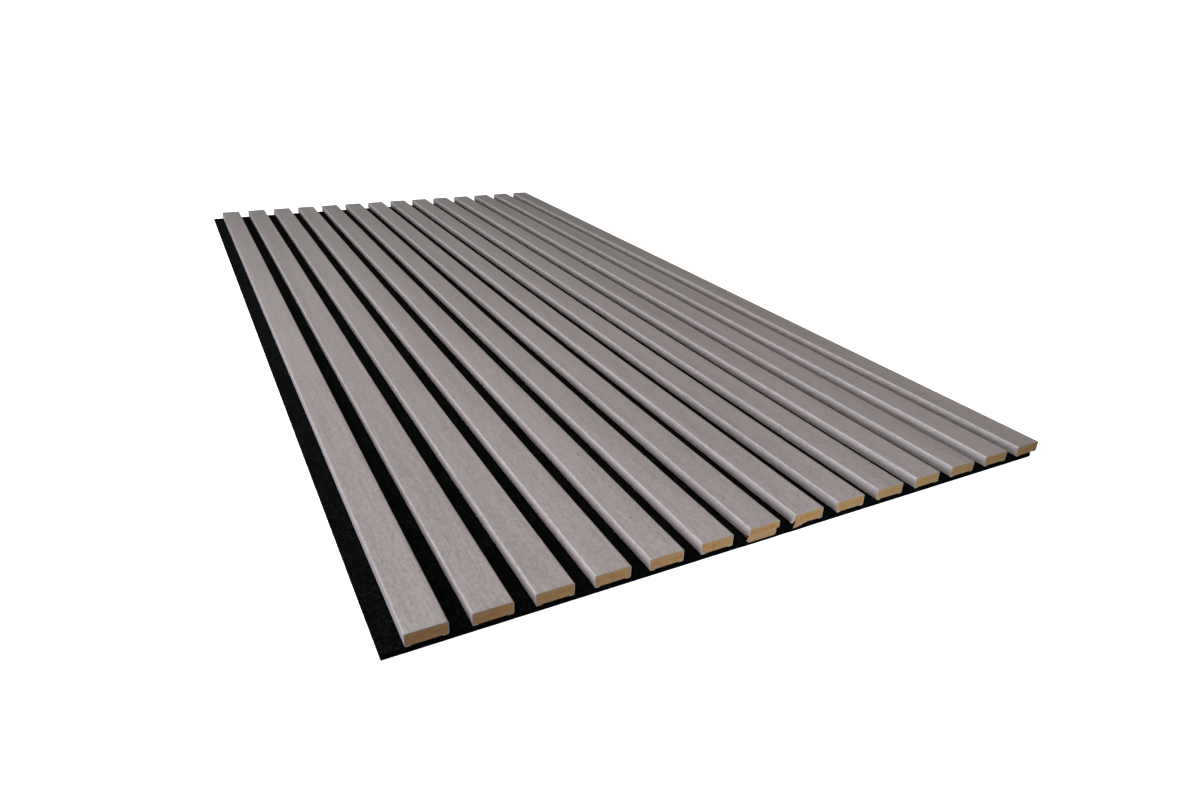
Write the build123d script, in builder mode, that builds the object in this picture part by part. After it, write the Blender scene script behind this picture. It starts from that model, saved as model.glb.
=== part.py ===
"""Acoustic panel: foil-wrapped fibreboard slats in a row on a felt backing, lying face up."""
from build123d import *
from dataclasses import dataclass
import os

os.makedirs("parts", exist_ok=True)

# Panel: X runs across the slats, Y along them, Z out of the face
panel_length = 1200
slat_count = 14
slat_gap = 15

# Slat: a fibreboard core, milled round along its edges, in a wrapped foil
core_width = 27
core_height = 9
core_top_radius = 1.5
core_bottom_radius = 1
foil_thickness = 0.5
foil_return = 4

# Felt: bare beside the first slat, set back under the last one
felt_thickness = 5
felt_strip = 15
felt_setback = 7

# Knocked near ends: board squeezed out of the slat, down into the felt and to the left
burst_run = 14
burst_drop = 3
burst_shift = 2.5
burst_rise = 3
tear_mouth = 2.2
tear_depth = 2
tear_run = 5


@dataclass
class KnockedEnd:
    """How far a knocked end is squeezed out under the slat, and the step torn off its other edge."""

    width: float
    far_drop: float
    step: float


knocked_ends = {
    7: KnockedEnd(width=26, far_drop=3, step=1.8),
    8: KnockedEnd(width=14, far_drop=-1, step=0),
}

slat_width = core_width + 2 * foil_thickness
slat_pitch = slat_width + slat_gap
panel_width = felt_strip + slat_count * slat_pitch - slat_gap
felt_width = panel_width - felt_setback
first_slat_x = -panel_width / 2 + felt_strip + slat_width / 2
near_end = -panel_length / 2


def slat_plane(number, y):
    """Section plane of a slat, with its origin under the middle of the slat, on the felt."""
    slat_x = first_slat_x + (number - 1) * slat_pitch
    return Plane(origin=(slat_x, y, felt_thickness), x_dir=(1, 0, 0), z_dir=(0, -1, 0))


def burst_end(number):
    """Board squeezed out of a knocked end, widest at the end and running out inside the slat."""
    end = knocked_ends[number]
    left = -core_width / 2
    root = foil_thickness + core_bottom_radius
    with BuildPart() as burst:
        with BuildSketch(slat_plane(number, near_end)):
            with BuildLine():
                Polyline(
                    (left - burst_shift, 0),
                    (left, burst_rise),
                    (left + end.width, burst_rise),
                    (left + end.width, -end.far_drop),
                    (left, -burst_drop),
                    close=True,
                )
            make_face()
        with BuildSketch(slat_plane(number, near_end + burst_run)):
            with BuildLine():
                Polyline(
                    (left + core_bottom_radius, root),
                    (left + core_bottom_radius, burst_rise),
                    (left + end.width, burst_rise),
                    (left + end.width, root),
                    (left + 2 * core_bottom_radius, root),
                    close=True,
                )
            make_face()
        loft()
    return burst.part


def torn_edges(number):
    """Gaps where the foil is torn off a knocked end: a notch on the left and a step on the right."""
    end = knocked_ends[number]
    left = -slat_width / 2
    right = slat_width / 2
    with BuildPart() as gaps:
        with BuildSketch(slat_plane(number, near_end)):
            with BuildLine():
                Polyline(
                    (left - burst_shift, burst_rise + tear_mouth),
                    (left + tear_depth, burst_rise),
                    (left - burst_shift, foil_thickness),
                    close=True,
                )
            make_face()
            if end.step:
                with BuildLine():
                    Polyline(
                        (right, burst_rise + foil_thickness),
                        (right - end.step, burst_rise),
                        (right - end.step, 0),
                        (right, 0),
                        close=True,
                    )
                make_face()
        extrude(amount=-tear_run)
    return gaps.part


# Section of the core, which stands off the felt by the foil that returns under it
with BuildSketch() as core_section:
    with Locations((0, foil_thickness)):
        Rectangle(core_width, core_height, align=(Align.CENTER, Align.MIN))
    fillet(core_section.vertices().group_by(Axis.Y)[-1], core_top_radius)
    fillet(core_section.vertices().group_by(Axis.Y)[0], core_bottom_radius)

# Section of the foil, open underneath between the edges that it returns under
with BuildSketch() as foil_section:
    offset(core_section.sketch, amount=foil_thickness)
    add(core_section.sketch, mode=Mode.SUBTRACT)
    Rectangle(
        slat_width - 2 * foil_return,
        foil_thickness,
        align=(Align.CENTER, Align.MIN),
        mode=Mode.SUBTRACT,
    )

slat_numbers = range(1, slat_count + 1)
bursts = {number: burst_end(number) for number in slat_numbers if number in knocked_ends}
tears = {number: torn_edges(number) for number in bursts}

# Felt backing, pressed in under the knocked ends
with BuildPart() as felt:
    with BuildSketch():
        with Locations((-felt_setback / 2, 0)):
            Rectangle(felt_width, panel_length)
    extrude(amount=felt_thickness)
    for burst in bursts.values():
        add(burst, mode=Mode.SUBTRACT)
felt.part.label = "felt_backing"
export_step(felt.part, "parts/felt_backing.step")

for number in slat_numbers:
    # Fibreboard core
    with BuildPart() as core:
        with BuildSketch(slat_plane(number, 0)):
            add(core_section.sketch)
        extrude(amount=panel_length / 2, both=True)
        if number in bursts:
            add(bursts[number])
            add(tears[number], mode=Mode.SUBTRACT)
    core.part.label = f"slat_core_{number:02d}"
    export_step(core.part, f"parts/{core.part.label}.step")

    # Foil wrapped round the core
    with BuildPart() as foil:
        with BuildSketch(slat_plane(number, 0)):
            add(foil_section.sketch)
        extrude(amount=panel_length / 2, both=True)
        if number in bursts:
            add(bursts[number], mode=Mode.SUBTRACT)
            add(tears[number], mode=Mode.SUBTRACT)
    foil.part.label = f"slat_foil_{number:02d}"
    export_step(foil.part, f"parts/{foil.part.label}.step")
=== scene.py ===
"""Acoustic panel: wrapped slats, their sawn ends and a felt backing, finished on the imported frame."""
import math
from typing import NamedTuple

import bpy
import numpy as np
from bpy.props import FloatProperty, FloatVectorProperty, IntProperty, PointerProperty
from mathutils import Matrix, Vector, noise


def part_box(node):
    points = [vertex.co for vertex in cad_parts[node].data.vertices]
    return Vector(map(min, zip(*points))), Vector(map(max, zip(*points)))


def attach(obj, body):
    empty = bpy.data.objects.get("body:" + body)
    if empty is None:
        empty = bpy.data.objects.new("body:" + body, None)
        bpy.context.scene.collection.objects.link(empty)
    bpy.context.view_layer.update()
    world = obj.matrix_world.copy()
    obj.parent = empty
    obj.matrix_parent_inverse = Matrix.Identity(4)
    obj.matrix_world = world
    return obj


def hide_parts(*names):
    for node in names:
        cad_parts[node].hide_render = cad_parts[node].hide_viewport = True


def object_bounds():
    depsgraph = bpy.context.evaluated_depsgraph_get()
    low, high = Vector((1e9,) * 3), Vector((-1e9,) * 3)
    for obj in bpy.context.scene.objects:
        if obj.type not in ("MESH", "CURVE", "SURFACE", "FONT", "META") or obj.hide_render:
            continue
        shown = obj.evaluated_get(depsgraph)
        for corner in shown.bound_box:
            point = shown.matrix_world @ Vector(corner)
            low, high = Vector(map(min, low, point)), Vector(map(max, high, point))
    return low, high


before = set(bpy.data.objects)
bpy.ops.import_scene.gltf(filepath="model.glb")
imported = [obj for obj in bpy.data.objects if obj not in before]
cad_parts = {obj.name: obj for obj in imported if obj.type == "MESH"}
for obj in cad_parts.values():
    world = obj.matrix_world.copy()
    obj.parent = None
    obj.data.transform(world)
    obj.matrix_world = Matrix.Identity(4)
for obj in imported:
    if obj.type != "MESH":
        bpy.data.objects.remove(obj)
cad_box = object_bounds()

bl_info = {
    "name": "Acoustic panel",
    "version": (1, 0, 0),
    "blender": (4, 5, 0),
    "location": "3D View > Sidebar > Acoustic panel",
    "description": "Builds the foil, sawn ends and felt of a slatted acoustic panel on its packed frame",
    "category": "Object",
}

MM = 0.001
BODY = "root"
SLATS = sorted(int(name[-2:]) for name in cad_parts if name.startswith("slat_core_"))


def node_box(node):
    """Lowest and highest corner of a node, as arrays."""
    low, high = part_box(node)
    return np.array(low), np.array(high)


FOIL_LOW, FOIL_HIGH = node_box("slat_foil_01")
CORE_TOP = node_box("slat_core_01")[1][2]
FELT_LOW, FELT_HIGH = node_box("felt_backing")
SLAT_WIDTH, PANEL_LENGTH, SLAT_HEIGHT = FOIL_HIGH - FOIL_LOW
FOIL_THICKNESS = FOIL_HIGH[2] - CORE_TOP
NEAR_END = FOIL_LOW[1]
FELT_TOP = FELT_HIGH[2]
SLAT_MIDDLES = {number: float(sum(node_box(f"slat_foil_{number:02d}"))[0] / 2) for number in SLATS}


class SlatSettings(bpy.types.PropertyGroup):
    """Form of the wrapped slats."""

    top_radius: FloatProperty(
        name="Top radius", description="Outside radius of the foil along a slat's top edges",
        default=1.2 * MM, min=FOIL_THICKNESS, unit="LENGTH")
    bottom_radius: FloatProperty(
        name="Bottom radius", description="Outside radius of the foil along a slat's bottom edges",
        default=1.5 * MM, min=FOIL_THICKNESS, unit="LENGTH")
    foil_return: FloatProperty(
        name="Foil return", description="How far the foil returns under each edge",
        default=4 * MM, unit="LENGTH")
    arc_steps: IntProperty(
        name="Arc steps", description="Facets round each edge", default=8, min=2)
    bow: FloatProperty(
        name="Bow", description="How far a slat wanders sideways along its length",
        default=0.25 * MM, unit="LENGTH")


class KnockSettings(bpy.types.PropertyGroup):
    """Knocked near ends and the dented edge."""

    burst_run: FloatProperty(
        name="Burst run", description="How far the squeezed board runs in from a knocked end",
        default=14 * MM, unit="LENGTH")
    burst_drop: FloatProperty(
        name="Burst drop", description="How far the squeezed board hangs below the slat",
        default=3 * MM, unit="LENGTH")
    burst_rise: FloatProperty(
        name="Burst rise", description="Height above the slat's underside where the squeeze begins",
        default=3 * MM, unit="LENGTH")
    tear_run: FloatProperty(
        name="Tear run", description="How far the foil is torn in from a knocked end",
        default=5 * MM, unit="LENGTH")
    flake_run: FloatProperty(
        name="Flake run", description="Thickness of the flake at a knocked end's lower left corner",
        default=1.1 * MM, unit="LENGTH")
    hollow_depth: FloatProperty(
        name="Hollow depth", description="Depth of the hollow behind the flake",
        default=4 * MM, unit="LENGTH")
    dent_depth: FloatProperty(
        name="Dent depth", description="Depth of the dent in one slat's top edge",
        default=0.7 * MM, unit="LENGTH")


class FeltSettings(bpy.types.PropertyGroup):
    """Form of the felt sheet and its fuzz."""

    cell: FloatProperty(
        name="Cell", description="Size of the felt's mesh", default=5.5 * MM, unit="LENGTH")
    edge_round: FloatProperty(
        name="Edge round", description="Softness of the felt's cut edges", default=0.9 * MM, unit="LENGTH")
    unevenness: FloatProperty(
        name="Unevenness", description="Depth of the hollows in the felt's face",
        default=0.35 * MM, unit="LENGTH")
    fibre_length: FloatProperty(
        name="Fibre length", description="Longest loose fibre", default=2.4 * MM, unit="LENGTH")
    fibre_radius: FloatProperty(
        name="Fibre radius", description="Radius of a loose fibre", default=0.035 * MM, unit="LENGTH")
    fibre_count: IntProperty(
        name="Fibres", description="Number of loose fibres", default=11000, min=0)


class FinishSettings(bpy.types.PropertyGroup):
    """Colours of the panel."""

    foil_light: FloatVectorProperty(
        name="Foil light", description="Pale streaks of the wood-grain foil",
        default=(0.480, 0.415, 0.394), subtype="COLOR", min=0, max=1)
    foil_dark: FloatVectorProperty(
        name="Foil dark", description="Dark streaks of the wood-grain foil",
        default=(0.236, 0.201, 0.189), subtype="COLOR", min=0, max=1)
    foil_pore: FloatVectorProperty(
        name="Foil pore", description="Pores and specks of the wood-grain foil",
        default=(0.115, 0.098, 0.088), subtype="COLOR", min=0, max=1)
    foil_edge: FloatVectorProperty(
        name="Foil cut edge", description="Sawn edge of the foil",
        default=(0.60, 0.52, 0.435), subtype="COLOR", min=0, max=1)
    board_light: FloatVectorProperty(
        name="Board light", description="Pale flecks of the sawn fibreboard",
        default=(0.69, 0.371, 0.153), subtype="COLOR", min=0, max=1)
    board_dark: FloatVectorProperty(
        name="Board dark", description="Golden middle of the sawn fibreboard",
        default=(0.46, 0.206, 0.067), subtype="COLOR", min=0, max=1)
    board_face: FloatVectorProperty(
        name="Board face", description="Paler faces of the sawn fibreboard",
        default=(0.565, 0.320, 0.173), subtype="COLOR", min=0, max=1)
    # Painted shade: near-black colour that stands in for shade in the hollows between the felt's fibres.
    felt_hollow_shade: FloatVectorProperty(
        name="Felt dark", description="Hollows of the felt",
        default=(0.0003, 0.0003, 0.00033), subtype="COLOR", min=0, max=1)
    felt_light: FloatVectorProperty(
        name="Felt light", description="Raised fibres of the felt",
        default=(0.020, 0.0207, 0.0217), subtype="COLOR", min=0, max=1)
    fibre_pale: FloatVectorProperty(
        name="Pale fibre", description="Palest loose fibres",
        default=(0.06, 0.06, 0.064), subtype="COLOR", min=0, max=1)
    floor: FloatVectorProperty(
        name="Floor", description="Pale floor", default=(0.88, 0.88, 0.88), subtype="COLOR", min=0, max=1)


class StageSettings(bpy.types.PropertyGroup):
    """Camera and floor."""

    camera_place: FloatVectorProperty(
        name="Camera place", description="Where the camera stands",
        default=(-0.3634, -0.9751, 0.3505), subtype="TRANSLATION", unit="LENGTH")
    azimuth: FloatProperty(
        name="Azimuth", description="Camera's turn about the vertical, from looking along +Y",
        default=math.radians(-28.68), subtype="ANGLE")
    elevation: FloatProperty(
        name="Elevation", description="How steeply the camera looks down",
        default=math.radians(25.59), subtype="ANGLE")
    roll: FloatProperty(
        name="Roll", description="Camera's tilt to one side", default=math.radians(2.12), subtype="ANGLE")
    lens: FloatProperty(name="Lens", description="Focal length in millimetres", default=23.89)
    floor_size: FloatProperty(
        name="Floor size", description="Side of the floor", default=60.0, unit="LENGTH")


class PanelSettings(bpy.types.PropertyGroup):
    """All settings of the acoustic panel."""

    slat: PointerProperty(type=SlatSettings)
    knock: PointerProperty(type=KnockSettings)
    felt: PointerProperty(type=FeltSettings)
    finish: PointerProperty(type=FinishSettings)
    stage: PointerProperty(type=StageSettings)


class KnockedEnd(NamedTuple):
    """Form of a knocked slat end: reach is a share of the slat's width, and the rest is in millimetres."""

    reach: float  # how much of the width is squeezed out
    left_tear: float  # height that the foil is torn to on the left
    right_tear: float  # and on the right
    flare: float  # how far the torn foil stands out
    step: float  # how far the board steps in on the right
    edge: tuple  # left edge of the board, as pairs of height and shift


KNOCKED = {
    7: KnockedEnd(
        reach=1.0, left_tear=3.6, right_tear=3.5, flare=0.3, step=1.8,
        edge=((-3.2, 0.2), (-1.6, -1.2), (-0.2, -2.6), (0.7, -1.7), (3.9, 0.0))),
    8: KnockedEnd(
        reach=0.52, left_tear=3.2, right_tear=0, flare=2.6, step=0,
        edge=((-3.6, -0.9), (-2.6, -1.2), (0.5, -0.6), (2.9, 0.9), (4.4, 0.0))),
}
TEAR_LIMIT = 0.62  # share of the slat's height that a tear in the foil draws on
TEAR_JAG = 0.35  # raggedness of a tear, in millimetres
EDGE_JAG = 0.35 * MM
JAG_PITCH = 0.9
EDGE_BAND = 6 * MM  # width of the board that follows its ragged left edge
STEP_BAND = 5 * MM  # and of the part that follows the step on the right
PRESS_SLOPE = (5 * MM, 2 * MM)  # where the pressed felt starts and is full, left of a knocked slat
PRESS_EXTRA = 0.3 * MM

# Dented slats, with the place of the dent along the panel
DENTED = {11: NEAR_END + 58 * MM}
DENT_HALF_LENGTH = 26 * MM
DENT_WIDTH = 6 * MM
DENT_FOOT = 0.45  # share of the slat's height where the dent begins
DENT_SLOPE = 0.6

# Mesh of the slats: points of the foil's line, places along a slat, and columns and rows of the board's end
SHARP_ANGLE = math.radians(40)
LIP_POINTS = 5
SIDE_POINTS = 9
FACE_POINTS = 7
NEAR_STATIONS = (0, 0.03, 0.055, 0.08, 0.12, 0.17, 0.24, 0.33, 0.45, 0.62, 0.8, 1.0)
FAR_STATIONS = 56
BOARD_COLUMNS = 34
BOARD_ROWS = 20
SAWN_DEPTH = 0.12 * MM
BROKEN_DEPTH = 0.35 * MM
SAW_PITCH = 900

# Felt: wander of its cut edges, pitch of that wander and of its uneven face, and roundness of its edges
CUT_WANDER_X = 0.25 * MM
CUT_WANDER_Y = 0.2 * MM
CUT_PITCH = 140
FACE_PITCH = 60
ROUND_SHARE = 0.3

# Loose fibres: shares on the bare strips and on the left, near, right and far edge
FIBRE_SEED = 14
FIBRE_SHARES = (0.40, 0.27, 0.14, 0.09, 0.10)
FIBRE_SIDES = 3
FIBRE_TAPER = (1, 0.8, 0.3)
FIBRE_ROOT = 0.3 * MM  # depth of a root under the felt's face
FIBRE_EDGE_ROOT = 0.2 * MM  # and behind its cut edges


def smooth_step(low, high, value):
    """0 below low, 1 above high, with a smooth rise between."""
    share = np.clip((value - low) / (high - low), 0, 1)
    return share * share * (3 - 2 * share)


def ripple(x, y, z, octaves=2):
    """Smooth noise between about -1 and 1."""
    return noise.fractal(Vector((x, y, z)), 1.0, 2.0, octaves, noise_basis="PERLIN_ORIGINAL")


def unit_ripple(x, y, z, octaves=2):
    """Smooth noise between about 0 and 1."""
    return 0.5 + 0.5 * ripple(x, y, z, octaves)


# Mesh building


def new_piece(name, points, faces, finish, nodes=()):
    """Links a mesh object that rides on the panel and stands for the given nodes."""
    mesh = bpy.data.meshes.new(name)
    mesh.from_pydata([tuple(p) for p in points], [], [tuple(f) for f in faces])
    mesh.validate()
    mesh.materials.append(finish)
    mesh.shade_smooth()
    mesh.set_sharp_from_angle(angle=SHARP_ANGLE)
    piece = bpy.data.objects.new(name, mesh)
    bpy.context.scene.collection.objects.link(piece)
    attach(piece, BODY)
    if nodes:
        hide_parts(*nodes)
    return piece


def mark_slat(piece, number):
    """Stores a slat's number on its mesh, where its finish reads which stretch of grain it has."""
    mark = piece.data.attributes.new("slat", "FLOAT", "POINT")
    mark.data.foreach_set("value", np.full(len(piece.data.vertices), float(number), dtype=np.float32))


def outline(wide, high):
    """Places in a grid of points that run once round its rim."""
    rim = [(i, 0) for i in range(wide)]
    rim += [(wide - 1, j) for j in range(1, high)]
    rim += [(i, high - 1) for i in range(wide - 2, -1, -1)]
    rim += [(0, j) for j in range(high - 2, 0, -1)]
    return rim


def rim_numbers(wide, high):
    """Numbers of the points on the rim of a grid."""
    return np.array([i * high + j for i, j in outline(wide, high)])


def slab_faces(wide, high, loop_count):
    """Faces of two like grids of points, and of the loops of points that join their rims."""
    size = wide * high
    faces = []
    for i in range(wide - 1):
        for j in range(high - 1):
            a = i * high + j
            faces.append((a, a + high, a + high + 1, a + 1))
            faces.append((size + a, size + a + 1, size + a + high + 1, size + a + high))
    rim = rim_numbers(wide, high)
    between = [2 * size + k * len(rim) + np.arange(len(rim)) for k in range(loop_count)]
    loops = [rim, *between, size + rim]
    for first, second in zip(loops, loops[1:]):
        for k in range(len(rim)):
            n = (k + 1) % len(rim)
            faces.append((first[k], second[k], second[n], first[n]))
    return faces


def arc(centre_x, centre_z, radius, start, steps):
    """Points of a quarter turn that starts at the given angle, ends included."""
    angles = np.radians(start) + np.linspace(0, math.pi / 2, steps + 1)
    return np.stack([centre_x + radius * np.cos(angles), centre_z + radius * np.sin(angles)], 1)


def half_wrap(settings, inset):
    """Right half of the foil's line from its lip, up the side, to the middle of the top, at a depth."""
    half = SLAT_WIDTH / 2
    top = settings.top_radius
    bottom = settings.bottom_radius
    steps = settings.arc_steps
    lip_x = np.linspace(half - settings.foil_return, half - bottom, LIP_POINTS)
    lip = np.stack([lip_x, np.full(LIP_POINTS, inset)], 1)
    lower = arc(half - bottom, bottom, bottom - inset, -90, steps)
    side_z = np.linspace(bottom, SLAT_HEIGHT - top, SIDE_POINTS)
    side = np.stack([np.full(SIDE_POINTS, half - inset), side_z], 1)
    upper = arc(half - top, SLAT_HEIGHT - top, top - inset, 0, steps)
    face_x = np.linspace(half - top, 0, FACE_POINTS)
    face = np.stack([face_x, np.full(FACE_POINTS, SLAT_HEIGHT - inset)], 1)
    return np.concatenate([lip[:-1], lower[:-1], side[:-1], upper[:-1], face])


def whole_wrap(settings, inset):
    """Foil's line from the right lip over the top to the left lip."""
    right = half_wrap(settings, inset)
    left = right[::-1] * np.array([-1, 1])
    return np.concatenate([right, left[1:]])


def stations(run):
    """Distances along a slat, close together near the near end and even beyond."""
    near = np.array(NEAR_STATIONS) * run
    return np.concatenate([near, np.linspace(run, PANEL_LENGTH, FAR_STATIONS)[1:]])


def wander(number, along, settings):
    """Sideways wander of a slat at a distance along it, nil at the near end."""
    share = smooth_step(0, 0.15, along)
    return settings.bow * share * ripple(number * 3.7, along * 2.1, 0.5)


def dent(number, along, x, z, knock):
    """Shift of points on a slat's section where its left top edge is dented."""
    if number not in DENTED:
        return np.zeros((*x.shape, 2))
    reach = 1 - smooth_step(0, DENT_HALF_LENGTH, abs(NEAR_END + along - DENTED[number]))
    corner = smooth_step(DENT_FOOT * SLAT_HEIGHT, SLAT_HEIGHT, z)
    corner = corner * (1 - smooth_step(0, DENT_WIDTH, SLAT_WIDTH / 2 + x))
    return knock.dent_depth * reach * np.stack([corner, -DENT_SLOPE * corner], -1)


class ACOUSTIC_OT_foils(bpy.types.Operator):
    """Wrap each slat's foil round its top and sides, torn where its end is knocked"""

    bl_idname = "acoustic.foils"
    bl_label = "Slat foils"

    def torn_line(self, line, outer, start_height):
        """Moves the lower part of the line on one side up to a torn edge, keeping its number of points."""
        keep = int(np.argmax(outer[:, 1] > TEAR_LIMIT * SLAT_HEIGHT))
        lower = outer[:keep + 1]
        steps = np.concatenate([[0], np.cumsum(np.linalg.norm(np.diff(lower, axis=0), axis=1))])
        rising = lower[:, 1] + 1e-9 * np.arange(keep + 1)
        from_length = np.interp(start_height, rising, steps)
        wanted = from_length + (steps[-1] - from_length) * steps / steps[-1]
        torn = line.copy()
        for column in (0, 1):
            torn[:keep + 1, column] = np.interp(wanted, steps, line[:keep + 1, column])
        return torn, 1 - steps / steps[-1]

    def section(self, number, along, outer, inner, settings, knock):
        """Outer and inner line of the foil at a distance along the slat."""
        lines = [outer.copy(), inner.copy()]
        if number in KNOCKED and along < knock.tear_run:
            end = KNOCKED[number]
            for side, torn_to in ((-1, end.left_tear), (1, end.right_tear)):
                if not torn_to:
                    continue
                jag = TEAR_JAG * ripple(along / MM * JAG_PITCH, number * 5.1, side)
                share = 1 - smooth_step(0.35, 1, along / knock.tear_run + 0.2 * jag)
                height = share * (torn_to + jag) * MM
                flare = end.flare * MM * share * (1 if side < 0 else 0.2)
                for index, line in enumerate(lines):
                    run = line[::-1] if side < 0 else line
                    reference = outer[::-1] if side < 0 else outer
                    torn, lift = self.torn_line(run, reference, height)
                    torn[:len(lift), 0] += side * flare * lift ** 2
                    lines[index] = torn[::-1] if side < 0 else torn
        for line in lines:
            line += dent(number, along, line[:, 0], line[:, 1], knock)
        shift = np.array([SLAT_MIDDLES[number] + wander(number, along, settings), FELT_TOP])
        return [line + shift for line in lines]

    def execute(self, context):
        panel = context.scene.acoustic_panel
        settings = panel.slat
        outer = whole_wrap(settings, 0)
        inner = whole_wrap(settings, FOIL_THICKNESS)
        count = len(outer)
        ring = 2 * count
        distances = stations(panel.knock.burst_run)
        last = (len(distances) - 1) * ring
        finish = foil_finish(panel.finish)
        for number in SLATS:
            points = []
            for along in distances:
                out_line, in_line = self.section(number, along, outer, inner, settings, panel.knock)
                loop = np.concatenate([out_line, in_line[::-1]])
                points.append(np.insert(loop, 1, NEAR_END + along, axis=1))
            faces = []
            for first in range(0, last, ring):
                for k in range(ring):
                    a = first + k
                    b = first + (k + 1) % ring
                    faces.append((a, b, b + ring, a + ring))
            for k in range(count - 1):
                k_in = ring - 1 - k
                faces.append((k, k_in, k_in - 1, k + 1))
                faces.append((last + k, last + k + 1, last + k_in - 1, last + k_in))
            points = np.concatenate(points)
            name = f"foil_wrap_{number:02d}"
            piece = new_piece(name, points, faces, finish, [f"slat_foil_{number:02d}"])
            mark_slat(piece, number)
        return {"FINISHED"}


class ACOUSTIC_OT_cores(bpy.types.Operator):
    """Saw each slat's fibreboard core, squeezed out where its end is knocked"""

    bl_idname = "acoustic.cores"
    bl_label = "Slat cores"

    def columns(self, settings):
        """X of the end's columns with the bottom and top of the board there."""
        half = SLAT_WIDTH / 2 - FOIL_THICKNESS
        base = FOIL_THICKNESS
        top = SLAT_HEIGHT - FOIL_THICKNESS
        top_radius = settings.top_radius - FOIL_THICKNESS
        bottom_radius = settings.bottom_radius - FOIL_THICKNESS
        turn = np.linspace(0, math.pi / 2, settings.arc_steps + 1)
        edge = half - top_radius * (1 - np.sin(turn))
        flat = np.linspace(-edge[0], edge[0], BOARD_COLUMNS)[1:-1]
        x = np.concatenate([-edge[::-1], flat, edge])
        inside = half - np.abs(x)

        def drop(radius):
            """How far a rounded edge falls away from the board's face."""
            return radius - np.sqrt(np.maximum(radius ** 2 - np.maximum(radius - inside, 0) ** 2, 0))

        return x, base + drop(bottom_radius), top - drop(top_radius)

    def squeeze(self, number, x, z, along, knock):
        """Pushes the lower board of a knocked end down and out to the left, and cracks it open."""
        if number not in KNOCKED:
            return x, z
        end = KNOCKED[number]
        half = SLAT_WIDTH / 2 - FOIL_THICKNESS
        long_run = 1 - smooth_step(0, knock.burst_run, along)
        short_run = 1 - smooth_step(0, knock.tear_run, along)
        flake_run = 1 - smooth_step(0.3 * knock.flake_run, knock.flake_run, along)
        across = np.ones_like(x)
        if end.reach < 1:
            across = 1 - smooth_step(-half, -half + 2 * half * end.reach, x)
        low = np.clip(1 - z / knock.burst_rise, 0, 1)
        z = z - (knock.burst_drop + FOIL_THICKNESS) * long_run * low * across
        heights, shifts = np.array(end.edge).T * MM
        edge = np.interp(z, heights, shifts)
        jag = np.vectorize(lambda at: ripple(at / MM * JAG_PITCH, number * 1.7, 0.2, 3))(z)
        edge = edge + EDGE_JAG * jag * (z < heights[-1])
        hollow = knock.hollow_depth * (1 - smooth_step(0.8, 1.1, z / (end.left_tear * MM)))
        hollow = hollow * (1 - smooth_step(0.5, 1.2, along / knock.tear_run))
        edge = flake_run * edge + (1 - flake_run) * hollow
        left = 1 - smooth_step(0, EDGE_BAND, x + half)
        rise = knock.burst_rise
        right = smooth_step(half - STEP_BAND, half, x) * (1 - smooth_step(rise, 1.2 * rise, z))
        return x + edge * left - short_run * end.step * MM * right, z

    def grid(self, number, along, settings, knock, roughness=0):
        """Grid of points across the board at a distance along it."""
        x, low, high = self.columns(settings)
        share = np.linspace(0, 1, BOARD_ROWS + 1)
        grid_x = np.repeat(x[:, None], BOARD_ROWS + 1, 1)
        grid_z = low[:, None] + (high - low)[:, None] * share[None, :]
        grid_x, grid_z = self.squeeze(number, grid_x, grid_z, along, knock)
        shift = dent(number, along, grid_x, grid_z, knock)
        grid_x = grid_x + shift[..., 0]
        grid_z = grid_z + shift[..., 1]
        grid_x = grid_x + SLAT_MIDDLES[number] + wander(number, along, settings)
        grid_z = grid_z + FELT_TOP
        grid_y = np.full_like(grid_x, NEAR_END + along)
        if roughness:
            inward = 1 if along < PANEL_LENGTH / 2 else -1
            for i, j in np.ndindex(grid_x.shape):
                pit = unit_ripple(grid_x[i, j] * SAW_PITCH, number * 2.3, grid_z[i, j] * SAW_PITCH, 3)
                grid_y[i, j] += inward * roughness * pit
        return np.stack([grid_x, grid_y, grid_z], 2)

    def execute(self, context):
        panel = context.scene.acoustic_panel
        form = (panel.slat, panel.knock)
        finish = board_finish(panel.finish)
        between = stations(panel.knock.burst_run)[1:-1]
        for number in SLATS:
            rough = BROKEN_DEPTH if number in KNOCKED else SAWN_DEPTH
            near = self.grid(number, 0, *form, rough)
            far = self.grid(number, PANEL_LENGTH, *form, SAWN_DEPTH)
            wide, high = near.shape[:2]
            rim = rim_numbers(wide, high)
            rings = [self.grid(number, along, *form).reshape(-1, 3)[rim] for along in between]
            points = np.concatenate([near.reshape(-1, 3), far.reshape(-1, 3), *rings])
            faces = slab_faces(wide, high, len(rings))
            name = f"board_core_{number:02d}"
            piece = new_piece(name, points, faces, finish, [f"slat_core_{number:02d}"])
            mark_slat(piece, number)
        return {"FINISHED"}


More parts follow.
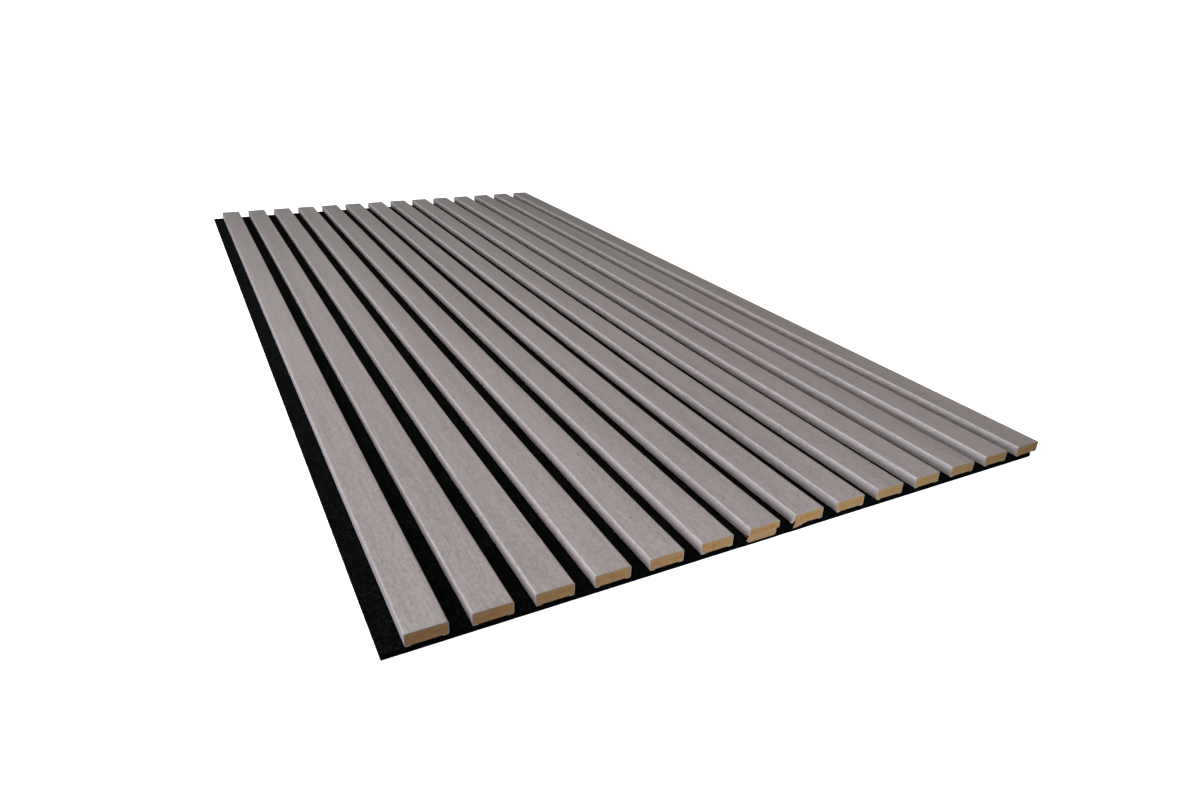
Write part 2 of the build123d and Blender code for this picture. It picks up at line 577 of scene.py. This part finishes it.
class ACOUSTIC_OT_felt(bpy.types.Operator):
    """Lay the felt sheet, soft at its cut edges and pressed in under the knocked ends"""

    bl_idname = "acoustic.felt"
    bl_label = "Felt backing"

    def pressed(self, x, y, knock):
        """Depth that the knocked ends press into the felt at a place."""
        deepest = 0.0
        for number, end in KNOCKED.items():
            left = SLAT_MIDDLES[number] - SLAT_WIDTH / 2
            right = left + SLAT_WIDTH * end.reach
            reach = smooth_step(left - PRESS_SLOPE[0], left - PRESS_SLOPE[1], x)
            reach *= 1 - smooth_step(right - 2 * MM, right + MM, x)
            deepest = max(deepest, reach * (1 - smooth_step(0, knock.burst_run, y - NEAR_END)))
        return deepest * (knock.burst_drop + PRESS_EXTRA)

    def execute(self, context):
        panel = context.scene.acoustic_panel
        felt = panel.felt
        width, length, thickness = FELT_HIGH - FELT_LOW
        across = max(2, round(width / felt.cell))
        along = max(2, round(length / felt.cell))
        share_x = np.linspace(0, 1, across + 1)
        share_y = np.linspace(0, 1, along + 1)
        middle = (FELT_LOW + FELT_HIGH) / 2

        def place(i, j, inset):
            """Point of the sheet's grid, drawn in from the edge by inset, with an uneven cut."""
            x = FELT_LOW[0] + inset + share_x[i] * (width - 2 * inset)
            y = FELT_LOW[1] + inset + share_y[j] * (length - 2 * inset)
            if i in (0, across):
                x += math.copysign(CUT_WANDER_X, middle[0] - x) * unit_ripple(i, y * CUT_PITCH, 3.1)
            if j in (0, along):
                y += math.copysign(CUT_WANDER_Y, middle[1] - y) * unit_ripple(x * CUT_PITCH, j, 7.7)
            return x, y

        def face_points(z, rough):
            """Points of one face, uneven and pressed in if it is rough."""
            rows = []
            for i, j in np.ndindex(across + 1, along + 1):
                x, y = place(i, j, felt.edge_round)
                dip = 0
                if rough:
                    dip = rough * unit_ripple(x * FACE_PITCH, y * FACE_PITCH, 1.3, 3)
                    dip += self.pressed(x, y, panel.knock)
                rows.append((x, y, z - dip))
            return rows

        top = face_points(FELT_HIGH[2], felt.unevenness)
        bottom = face_points(FELT_LOW[2], 0)
        soft = felt.edge_round
        start = ROUND_SHARE * soft
        insets = (start, 0, 0, start)
        depths = (start, soft, thickness - soft, thickness - start)
        sides = []
        for inset, down in zip(insets, depths):
            for i, j in outline(across + 1, along + 1):
                x, y = place(i, j, inset)
                limit = thickness - (thickness - down) * 0.2
                sink = self.pressed(x, y, panel.knock) * (1 - down / thickness)
                sides.append((x, y, max(FELT_HIGH[2] - min(down + sink, limit), FELT_LOW[2])))
        faces = slab_faces(across + 1, along + 1, len(depths))
        points = top + bottom + sides
        finish = felt_finish(panel.finish)
        sheet = new_piece("felt_sheet", points, faces, finish, ["felt_backing"])
        fuzz = self.fuzz(panel)
        return {"FINISHED"}

    def fuzz(self, panel):
        """Loose fibres that stand off the felt's bare strips and cut edges."""
        felt = panel.felt
        draw = np.random.default_rng(FIBRE_SEED)
        count = felt.fibre_count
        half = SLAT_WIDTH / 2
        bare = [(FELT_LOW[0], SLAT_MIDDLES[1] - half)]
        for number in SLATS[:-1]:
            bare.append((SLAT_MIDDLES[number] + half, SLAT_MIDDLES[number + 1] - half))
        kind = draw.choice(len(FIBRE_SHARES), count, p=FIBRE_SHARES)
        along = draw.uniform(FELT_LOW[1], FELT_HIGH[1], count)
        across = draw.uniform(FELT_LOW[0], FELT_HIGH[0], count)
        height = draw.uniform(FELT_LOW[2] + 0.6 * MM, FELT_HIGH[2] - 0.1 * MM, count)
        strip = np.array(bare)[draw.integers(0, len(bare), count)]
        in_strip = strip[:, 0] + (strip[:, 1] - strip[:, 0]) * draw.uniform(0.2, 0.8, count)
        root = np.stack([in_strip, along, np.full(count, FELT_HIGH[2] - FIBRE_ROOT)], 1)
        out = np.tile(np.array([0, 0, 1.0]), (count, 1))
        edges = (
            (0, FELT_LOW[0], -1),
            (1, FELT_LOW[1], -1),
            (0, FELT_HIGH[0], 1),
            (1, FELT_HIGH[1], 1),
        )
        for index, (axis, at, direction) in enumerate(edges, start=1):
            chosen = kind == index
            root[chosen, 0] = across[chosen]
            root[chosen, axis] = at - direction * FIBRE_EDGE_ROOT
            root[chosen, 2] = height[chosen]
            out[chosen] = 0
            out[chosen, axis] = direction
        lean = draw.normal(0, 1, (count, 3))
        lean -= out * np.sum(lean * out, axis=1, keepdims=True)
        lean /= np.linalg.norm(lean, axis=1, keepdims=True)
        long = felt.fibre_length * draw.uniform(0.3, 1, count)[:, None]
        long[kind == 0] *= 0.5
        rise = draw.uniform(0.15, 0.55, count)[:, None]
        rise[kind == 0] *= 0.3
        bend = root + long * (0.5 * lean + 0.6 * rise * out)
        tip = root + long * (0.95 * lean + 0.55 * rise * out)
        spread = np.cross(lean, out)
        points = []
        for place, share in zip((root, bend, tip), FIBRE_TAPER):
            for side in range(FIBRE_SIDES):
                angle = math.radians(360 / FIBRE_SIDES * side)
                around = math.cos(angle) * spread + math.sin(angle) * out
                ring = place + felt.fibre_radius * share * around
                ring[:, 2] = np.maximum(ring[:, 2], FELT_LOW[2])
                points.append(ring)
        size = len(points)
        stack = np.stack(points, 1).reshape(-1, 3)
        faces = []
        for first in range(0, size * count, size):
            for low in (first, first + FIBRE_SIDES):
                high = low + FIBRE_SIDES
                for k in range(FIBRE_SIDES):
                    n = (k + 1) % FIBRE_SIDES
                    faces.append((low + k, low + n, high + n, high + k))
            faces.append(range(first + size - FIBRE_SIDES, first + size))
            faces.append(range(first + FIBRE_SIDES - 1, first - 1, -1))
        return new_piece("felt_fuzz", stack, faces, fibre_finish(panel.finish))


# Finishes


def new_finish(name):
    """A material with its node tree and its shader."""
    material = bpy.data.materials.new(name)
    material.use_nodes = True
    return material, material.node_tree, material.node_tree.nodes["Principled BSDF"]


def add(tree, kind, sockets=None, **options):
    """Adds a node, sets its options, and fills or links its sockets."""
    made = tree.nodes.new("ShaderNode" + kind)
    for option, value in options.items():
        setattr(made, option, value)
    for socket, value in (sockets or {}).items():
        if isinstance(value, bpy.types.NodeSocket):
            tree.links.new(value, made.inputs[socket])
        else:
            made.inputs[socket].default_value = value
    return made


def frame_place(tree):
    """Coordinates in the shared frame, since every piece stands at its origin."""
    return add(tree, "TexCoord").outputs["Object"]


def scaled(tree, vector, scale):
    """A vector stretched along the axes."""
    return add(tree, "Mapping", {"Vector": vector, "Scale": scale}).outputs["Vector"]


def shifted(tree, vector, shift):
    """A vector moved by another."""
    return add(tree, "VectorMath", {0: vector, 1: shift}, operation="ADD").outputs["Vector"]


def noise_field(tree, vector, scale, detail, output="Fac", roughness=0.5):
    """Noise of one scale, or of a scale for each axis."""
    if isinstance(scale, tuple):
        vector = scaled(tree, vector, scale)
        scale = 1.0
    sockets = {"Vector": vector, "Scale": scale, "Detail": detail, "Roughness": roughness}
    return add(tree, "TexNoise", sockets).outputs[output]


def math_node(tree, operation, first, second=0.0, clamp=False):
    """Arithmetic on one or two values."""
    return add(tree, "Math", {0: first, 1: second}, operation=operation, use_clamp=clamp).outputs[0]


def ramp(tree, value, low, high, to_low=0.0, to_high=1.0):
    """A value mapped smoothly from one range to another."""
    return add(
        tree, "MapRange",
        {"Value": value, "From Min": low, "From Max": high, "To Min": to_low, "To Max": to_high},
        interpolation_type="SMOOTHSTEP").outputs["Result"]


def blend_colour(tree, share, first, second):
    """Two colours mixed by a share."""
    made = add(tree, "Mix", data_type="RGBA")
    for socket, value in zip(("Factor_Float", "A_Color", "B_Color"), (share, first, second)):
        target = next(s for s in made.inputs if s.identifier == socket)
        if isinstance(value, bpy.types.NodeSocket):
            tree.links.new(value, target)
        else:
            target.default_value = (*value, 1)
    return next(s for s in made.outputs if s.identifier == "Result_Color")


def roughen(tree, shader, height, strength, distance):
    """Gives a shader a fine relief."""
    bump = add(tree, "Bump", {"Strength": strength, "Distance": distance, "Height": height})
    tree.links.new(bump.outputs["Normal"], shader.inputs["Normal"])


def slat_coordinates(tree, place):
    """Coordinates in the shared frame, with each slat moved to its own stretch of pattern."""
    number = add(tree, "Attribute", attribute_name="slat").outputs["Fac"]
    jump = add(tree, "CombineXYZ", {"X": math_node(tree, "MULTIPLY", number, 0.317),
                                    "Y": math_node(tree, "MULTIPLY", number, 1.731)})
    return shifted(tree, place, jump.outputs["Vector"])


def foil_specks(tree, place):
    """A few small specks, scattered by cells."""
    cell = add(tree, "TexVoronoi", {"Vector": place, "Scale": 70.0})
    pick = add(tree, "SeparateColor", {0: cell.outputs["Color"]}).outputs[0]
    chosen = math_node(tree, "GREATER_THAN", pick, 0.87)
    return math_node(tree, "MULTIPLY", chosen, ramp(tree, cell.outputs["Distance"], 0.035, 0.1, 1, 0))


def foil_finish(colours):
    """Satin wood-grain foil in greyed oak, with a paler sawn edge."""
    material, tree, shader = new_finish("greyed_oak_foil")
    moved = slat_coordinates(tree, frame_place(tree))
    drift = noise_field(tree, moved, (20, 9, 20), 2.0, "Color")
    bent = shifted(tree, moved, scaled(tree, drift, (0.012, 0, 0)))
    broad = noise_field(tree, moved, (45, 1.7, 45), 3.0)
    streak = noise_field(tree, bent, (620, 13, 620), 3.0)
    fine = noise_field(tree, bent, (2100, 75, 2100), 3.0)
    mottle = noise_field(tree, moved, (420, 260, 420), 3.0)
    pores = ramp(tree, noise_field(tree, bent, (1500, 130, 1500), 1.0), 0.62, 0.74)
    speck = foil_specks(tree, moved)
    tone = math_node(tree, "MULTIPLY", ramp(tree, broad, 0.25, 0.75), 0.26)
    for grain, share in ((streak, 0.2), (fine, 0.32), (mottle, 0.34)):
        part = math_node(tree, "MULTIPLY", ramp(tree, grain, 0.25, 0.75), share)
        tone = math_node(tree, "ADD", tone, part)
    colour = blend_colour(tree, tone, colours.foil_dark, colours.foil_light)
    for mark, share in ((pores, 0.3), (speck, 0.9)):
        colour = blend_colour(tree, math_node(tree, "MULTIPLY", mark, share), colour, colours.foil_pore)
    normal_y = add(tree, "SeparateXYZ", {0: add(tree, "NewGeometry").outputs["True Normal"]}).outputs["Y"]
    sawn = math_node(tree, "GREATER_THAN", math_node(tree, "ABSOLUTE", normal_y), 0.7)
    colour = blend_colour(tree, sawn, colour, colours.foil_edge)
    tree.links.new(colour, shader.inputs["Base Color"])
    tree.links.new(ramp(tree, streak, 0.25, 0.75, 0.285, 0.345), shader.inputs["Roughness"])
    shader.inputs["Specular IOR Level"].default_value = 0.75
    relief = math_node(tree, "SUBTRACT", fine, math_node(tree, "MULTIPLY", pores, 0.8))
    roughen(tree, shader, relief, 0.35, 0.00006)
    return material


def board_finish(colours):
    """Sawn fibreboard: a golden middle between paler faces, fibre flecks and saw lines."""
    material, tree, shader = new_finish("sawn_fibreboard")
    place = frame_place(tree)
    moved = slat_coordinates(tree, place)
    height = add(tree, "SeparateXYZ", {0: place}).outputs["Z"]
    offset = math_node(tree, "SUBTRACT", height, FELT_TOP + SLAT_HEIGHT / 2)
    uneven = ramp(tree, noise_field(tree, moved, (110, 110, 110), 2.0), 0.3, 0.7, -0.001, 0.001)
    from_middle = math_node(tree, "ADD", math_node(tree, "ABSOLUTE", offset), uneven)
    face = ramp(tree, from_middle, 0.10 * SLAT_HEIGHT, 0.42 * SLAT_HEIGHT, 0.0, 0.85)
    fleck = noise_field(tree, moved, 1300.0, 4.0, roughness=0.65)
    cloud = noise_field(tree, moved, (160, 160, 420), 2.0)
    saw = noise_field(tree, moved, (1100, 200, 90), 2.0)
    core = ramp(tree, from_middle, 0.0, 0.25 * SLAT_HEIGHT, 0.2, 0.0)
    shade = math_node(tree, "ADD", core, ramp(tree, fleck, 0.35, 0.7, 0.0, 0.35))
    shade = math_node(tree, "ADD", shade, ramp(tree, cloud, 0.35, 0.7, 0.0, 0.3))
    shade = math_node(tree, "ADD", shade, ramp(tree, saw, 0.4, 0.65, 0.0, 0.18), clamp=True)
    colour = blend_colour(tree, shade, colours.board_light, colours.board_dark)
    colour = blend_colour(tree, face, colour, colours.board_face)
    tree.links.new(colour, shader.inputs["Base Color"])
    shader.inputs["Roughness"].default_value = 0.86
    shader.inputs["Specular IOR Level"].default_value = 0.25
    relief = math_node(tree, "ADD", fleck, math_node(tree, "MULTIPLY", saw, 0.7))
    roughen(tree, shader, relief, 0.6, 0.00012)
    return material


def felt_finish(colours):
    """Pressed black felt of tangled fibres, its tone varying at random in clouds and tufts, with painted
    shade: near-black where its fibre relief is low, as in the hollows between fibres.
    """
    material, tree, shader = new_finish("pressed_felt")
    place = frame_place(tree)
    bend = noise_field(tree, place, 260.0, 2.0, "Color")
    swirl = shifted(tree, place, scaled(tree, bend, (0.006, 0.006, 0.006)))
    fibre = noise_field(tree, swirl, (1700, 420, 1700), 4.0)
    cross = noise_field(tree, swirl, (380, 1600, 1600), 4.0)
    tangle = math_node(tree, "MAXIMUM", fibre, cross)
    cloud = noise_field(tree, place, 45.0, 3.0)
    tuft = noise_field(tree, swirl, 420.0, 3.0, roughness=0.6)
    # Painted shade: the felt turns near-black where the fibre relief (the same tangle that drives the bump)
    # is low; clouds and tufts vary its tone at random.
    share = ramp(tree, tangle, 0.45, 0.75)
    share = math_node(tree, "MULTIPLY", share, ramp(tree, cloud, 0.3, 0.7, 0.5, 1.0))
    share = math_node(tree, "MULTIPLY", share, ramp(tree, tuft, 0.38, 0.66))
    colour = blend_colour(tree, share, colours.felt_hollow_shade, colours.felt_light)
    tree.links.new(colour, shader.inputs["Base Color"])
    shader.inputs["Roughness"].default_value = 0.95
    shader.inputs["Specular IOR Level"].default_value = 0.03
    shader.inputs["Sheen Weight"].default_value = 0.0025
    shader.inputs["Sheen Roughness"].default_value = 0.6
    roughen(tree, shader, tangle, 0.8, 0.0003)
    return material


def fibre_finish(colours):
    """Loose felt fibres, dark with a few paler ones."""
    material, tree, shader = new_finish("loose_fibre")
    pick = ramp(tree, noise_field(tree, frame_place(tree), 320.0, 1.0), 0.45, 0.7)
    colour = blend_colour(tree, pick, colours.felt_light, colours.fibre_pale)
    tree.links.new(colour, shader.inputs["Base Color"])
    shader.inputs["Roughness"].default_value = 0.7
    shader.inputs["Specular IOR Level"].default_value = 0.2
    return material


def floor_finish(colours):
    """Pale studio floor, evenly lit from within so that it stays plain."""
    material, tree, shader = new_finish("pale_floor")
    mottle = noise_field(tree, frame_place(tree), 3.0, 2.0)
    paler = tuple(min(1, value * 1.02) for value in colours.floor)
    colour = blend_colour(tree, mottle, colours.floor, paler)
    tree.links.new(colour, shader.inputs["Base Color"])
    shader.inputs["Roughness"].default_value = 0.9
    shader.inputs["Specular IOR Level"].default_value = 0.0
    shader.inputs["Emission Color"].default_value = (1, 1, 1, 1)
    shader.inputs["Emission Strength"].default_value = BACKDROP_STRENGTH
    return material


# Stage


class SoftLight(NamedTuple):
    """A rectangular soft light that faces a point, with its power in watts and its spread in degrees."""

    name: str
    place: tuple
    aim: tuple
    size: tuple
    power: float
    colour: tuple
    spread: float = 180
    glossy: bool = True


LIGHTS = (
    SoftLight("sky", (-4.5, -0.5, 1.1), (0, -0.3, 0), (3.0, 1.4), 108, (0.67, 0.78, 1.0)),
    SoftLight(
        "window", (-1.6, -0.2, 0.47), (0, -0.2, 0), (1.25, 0.55), 21, (0.82, 0.895, 1.0), glossy=False),
    SoftLight("over", (-1.2, -0.3, 1.2), (0, -0.2, 0), (1.2, 0.4), 9, (1.0, 0.933, 0.956)),
    SoftLight("ceiling", (-0.5, -0.5, 1.9), (-0.1, -0.2, 0), (1.4, 1.4), 11, (1.0, 0.9, 0.8)),
    SoftLight("far", (-0.4, 0.6, 1.6), (-0.1, 0.4, 0), (0.9, 0.9), 5.4, (0.6, 1.0, 1.0)),
    SoftLight(
        "front", (0.1, -1.0, 0.1), (0.05, -0.6, 0.01), (0.3, 0.1), 0.29, (0.6, 0.988, 1.0),
        spread=120, glossy=False),
    SoftLight(
        "near", (0.0, -0.86, 0.1), (0.0, -0.6, 0.01), (0.25, 0.1), 0.225, (0.834, 0.812, 1.0),
        spread=150, glossy=False),
)
ROOM_COLOUR = (1.0, 0.84, 0.76, 1)
ROOM_STRENGTH = 0.078
BACKDROP_STRENGTH = 1.05
FLOOR_GAP = 0.0002
SENSOR_WIDTH = 36


class ACOUSTIC_OT_stage(bpy.types.Operator):
    """Set the floor, the soft light and the camera"""

    bl_idname = "acoustic.stage"
    bl_label = "Stage"

    def lay_floor(self, scene, panel):
        """A plain floor just under the panel."""
        half = panel.stage.floor_size / 2
        level = cad_box[0][2] - FLOOR_GAP
        corners = [(x * half, y * half, level) for x, y in ((-1, -1), (1, -1), (1, 1), (-1, 1))]
        mesh = bpy.data.meshes.new("floor")
        mesh.from_pydata(corners, [], [(0, 1, 2, 3)])
        mesh.materials.append(floor_finish(panel.finish))
        floor = bpy.data.objects.new("floor", mesh)
        scene.collection.objects.link(floor)
        floor.visible_diffuse = False
        floor.visible_glossy = False

    def set_room(self, scene):
        """A dim warm room behind a white backdrop."""
        world = bpy.data.worlds.new("studio")
        world.use_nodes = True
        tree = world.node_tree
        room = tree.nodes["Background"]
        room.inputs["Color"].default_value = ROOM_COLOUR
        room.inputs["Strength"].default_value = ROOM_STRENGTH
        backdrop = tree.nodes.new("ShaderNodeBackground")
        backdrop.inputs["Color"].default_value = (1, 1, 1, 1)
        backdrop.inputs["Strength"].default_value = BACKDROP_STRENGTH
        path = tree.nodes.new("ShaderNodeLightPath")
        mix = tree.nodes.new("ShaderNodeMixShader")
        tree.links.new(path.outputs["Is Camera Ray"], mix.inputs[0])
        tree.links.new(room.outputs[0], mix.inputs[1])
        tree.links.new(backdrop.outputs[0], mix.inputs[2])
        tree.links.new(mix.outputs[0], tree.nodes["World Output"].inputs["Surface"])
        scene.world = world
        scene.view_settings.view_transform = "Standard"

    def hang_light(self, scene, light):
        """One of the soft lights."""
        lamp = bpy.data.lights.new(light.name, "AREA")
        lamp.shape = "RECTANGLE"
        lamp.size, lamp.size_y = light.size
        lamp.energy = light.power
        lamp.color = light.colour
        lamp.spread = math.radians(light.spread)
        hung = bpy.data.objects.new(light.name, lamp)
        hung.location = light.place
        facing = Vector(light.aim) - Vector(light.place)
        hung.rotation_euler = facing.to_track_quat("-Z", "Y").to_euler()
        hung.visible_glossy = light.glossy
        scene.collection.objects.link(hung)

    def set_camera(self, scene, stage):
        """The camera at the viewing angle, turned, tipped and rolled."""
        lens = bpy.data.cameras.new("camera")
        lens.lens = stage.lens
        lens.sensor_width = SENSOR_WIDTH
        lens.clip_start = 0.01
        lens.clip_end = 2 * stage.floor_size
        camera = bpy.data.objects.new("camera", lens)
        turn_cos = math.cos(stage.azimuth)
        turn_sin = math.sin(stage.azimuth)
        tip_cos = math.cos(stage.elevation)
        back = Vector((turn_sin * tip_cos, -turn_cos * tip_cos, math.sin(stage.elevation)))
        level_right = Vector((turn_cos, turn_sin, 0))
        level_up = back.cross(level_right)
        roll_cos = math.cos(stage.roll)
        roll_sin = math.sin(stage.roll)
        right = roll_cos * level_right + roll_sin * level_up
        up = roll_cos * level_up - roll_sin * level_right
        turn = Matrix((right, up, back)).transposed().to_4x4()
        camera.matrix_world = Matrix.Translation(stage.camera_place) @ turn
        scene.collection.objects.link(camera)
        scene.camera = camera

    def execute(self, context):
        scene = context.scene
        panel = scene.acoustic_panel
        self.lay_floor(scene, panel)
        self.set_room(scene)
        for light in LIGHTS:
            self.hang_light(scene, light)
        self.set_camera(scene, panel.stage)
        return {"FINISHED"}


class ACOUSTIC_PT_panel(bpy.types.Panel):
    """Sidebar panel that lists the steps"""

    bl_label = "Acoustic panel"
    bl_idname = "ACOUSTIC_PT_panel"
    bl_space_type = "VIEW_3D"
    bl_region_type = "UI"
    bl_category = "Acoustic panel"

    def draw(self, context):
        for step in STEPS:
            self.layout.operator(step.bl_idname)
        for group in ("slat", "knock", "felt", "finish", "stage"):
            settings = getattr(context.scene.acoustic_panel, group)
            box = self.layout.box()
            for name in settings.bl_rna.properties.keys():
                if name not in ("rna_type", "name"):
                    box.prop(settings, name)


STEPS = (ACOUSTIC_OT_foils, ACOUSTIC_OT_cores, ACOUSTIC_OT_felt, ACOUSTIC_OT_stage)
GROUPS = (SlatSettings, KnockSettings, FeltSettings, FinishSettings, StageSettings, PanelSettings)
CLASSES = (*GROUPS, *STEPS, ACOUSTIC_PT_panel)


def register():
    """Registers the settings, the operators and the sidebar panel."""
    for kind in CLASSES:
        bpy.utils.register_class(kind)
    bpy.types.Scene.acoustic_panel = PointerProperty(type=PanelSettings)


def unregister():
    """Takes them out again."""
    del bpy.types.Scene.acoustic_panel
    for kind in reversed(CLASSES):
        bpy.utils.unregister_class(kind)


def main():
    """Builds the panel and its stage."""
    register()
    bpy.ops.acoustic.foils()
    bpy.ops.acoustic.cores()
    bpy.ops.acoustic.felt()
    bpy.ops.acoustic.stage()


if __name__ == "__main__":
    main()
